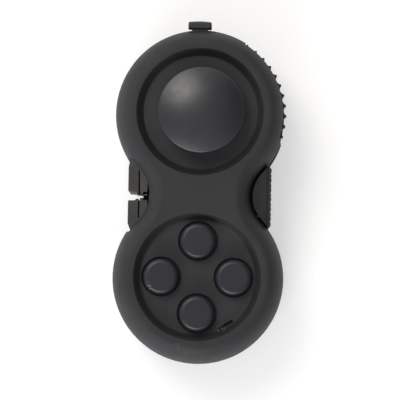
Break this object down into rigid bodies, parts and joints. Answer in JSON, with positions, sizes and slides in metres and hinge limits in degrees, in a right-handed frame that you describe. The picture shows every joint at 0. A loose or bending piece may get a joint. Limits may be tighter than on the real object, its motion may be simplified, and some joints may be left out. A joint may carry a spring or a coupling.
{
  "type": "fidget pad",
  "caption": "Handheld figure-8 fidget pad with a gliding joystick, push buttons, thumb wheel, slide switch, side triggers, rub pad, rolling ball and spinning dial.",
  "frame": {"origin": "on the flat back face, midway between the two lobes", "axes": "+X right seen from the front, +Y to the joystick end, +Z out of the front face"},
  "size_m": [0.0429, 0.0854, 0.025],
  "materials": {
    "shell": "soft-touch matt black",
    "control": "satin black",
    "inner_plastic": "as moulded",
    "wheel": "matt black",
    "switch": "matt black",
    "trigger": "fine striped texture",
    "rubber": "matt with small nubs",
    "ball": "polished",
    "silicone": "translucent grey",
    "bush": "turned",
    "steel": "zinc plated"
  },
  "bodies": {
    "casing": {"front_shell": "shell", "back_shell": "shell", "joystick_tray": "inner_plastic", "joystick_springs_y": "steel", "button_board": "inner_plastic", "button_dome_top": "silicone", "button_dome_left": "silicone", "button_dome_bottom": "silicone", "button_dome_right": "silicone", "wheel_retainer": "inner_plastic", "wheel_click_spring": "steel", "switch_bracket": "inner_plastic", "switch_detent": "steel", "trigger_spring_upper": "steel", "trigger_spring_lower": "steel", "grip_pad": "rubber", "ball_ring": "control", "ball_cup": "inner_plastic", "spinner_bush": "bush", "case_screws": "steel", "joystick_screws": "steel", "board_screws": "steel", "switch_screws": "steel", "ring_screws": "steel"},
    "cross_slide": {"joystick_cross_slide": "inner_plastic", "joystick_springs_x": "steel"},
    "joystick": {"joystick_cap": "control", "joystick_stem": "inner_plastic"},
    "button_top": {"button_top": "control"},
    "button_left": {"button_left": "control"},
    "button_bottom": {"button_bottom": "control"},
    "button_right": {"button_right": "control"},
    "wheel": {"thumb_wheel": "wheel"},
    "switch": {"switch_knob": "switch", "switch_slider": "inner_plastic"},
    "trigger_upper": {"trigger_upper": "trigger"},
    "trigger_lower": {"trigger_lower": "trigger"},
    "ball": {"track_ball": "ball"},
    "dial": {"spinner_dial": "control", "spinner_washer": "steel", "spinner_screw": "steel"}
  },
  "joints": [
    {"name": "joystick_glide_y", "type": "slide", "parent": "casing", "child": "cross_slide", "axis": [0, 1, 0], "range_m": [-0.0017, 0.0013], "stiffness_N_per_m": 60, "deforming": ["joystick_springs_y"]},
    {"name": "joystick_glide_x", "type": "slide", "parent": "cross_slide", "child": "joystick", "axis": [1, 0, 0], "range_m": [-0.00174, 0.00126], "stiffness_N_per_m": 60, "deforming": ["joystick_springs_x"]},
    {"name": "press_top", "type": "slide", "parent": "casing", "child": "button_top", "axis": [0, 0, -1], "range_m": [0, 0.0012], "stiffness_N_per_m": 200, "springref_m": -0.0006, "deforming": ["button_dome_top"]},
    {"name": "press_left", "type": "slide", "parent": "casing", "child": "button_left", "axis": [0, 0, -1], "range_m": [0, 0.0012], "stiffness_N_per_m": 200, "springref_m": -0.0006, "deforming": ["button_dome_left"]},
    {"name": "press_bottom", "type": "slide", "parent": "casing", "child": "button_bottom", "axis": [0, 0, -1], "range_m": [0, 0.0012], "stiffness_N_per_m": 200, "springref_m": -0.0006, "deforming": ["button_dome_bottom"]},
    {"name": "press_right", "type": "slide", "parent": "casing", "child": "button_right", "axis": [0, 0, -1], "range_m": [0, 0.0012], "stiffness_N_per_m": 200, "springref_m": -0.0006, "deforming": ["button_dome_right"]},
    {"name": "wheel_turn", "type": "hinge", "parent": "casing", "child": "wheel", "pos_m": [0.00103, 0.02088, 0.01], "axis": [0, 0, 1], "continuous": true, "deforming": ["wheel_click_spring"]},
    {"name": "switch_slide", "type": "slide", "parent": "casing", "child": "switch", "axis": [1, 0, 0], "range_m": [-0.00065, 0.00175], "deforming": ["switch_detent"]},
    {"name": "trigger_upper_press", "type": "hinge", "parent": "casing", "child": "trigger_upper", "pos_m": [-0.014, 0.0098, 0.01], "axis": [0, 0, 1], "range_deg": [0, 6], "stiffness_Nm_per_rad": 0.01, "springref_deg": -8.59, "deforming": ["trigger_spring_upper"]},
    {"name": "trigger_lower_press", "type": "hinge", "parent": "casing", "child": "trigger_lower", "pos_m": [-0.014, -0.0098, 0.01], "axis": [0, 0, -1], "range_deg": [0, 6], "stiffness_Nm_per_rad": 0.01, "springref_deg": -8.59, "deforming": ["trigger_spring_lower"]},
    {"name": "ball_roll", "type": "hinge", "parent": "casing", "child": "ball", "pos_m": [0, 0.0205, 0.0048], "axis": [1, 0, 0], "continuous": true},
    {"name": "dial_spin", "type": "hinge", "parent": "casing", "child": "dial", "pos_m": [0, -0.0205, 0.005], "axis": [0, 0, 1], "continuous": true}
  ]
}
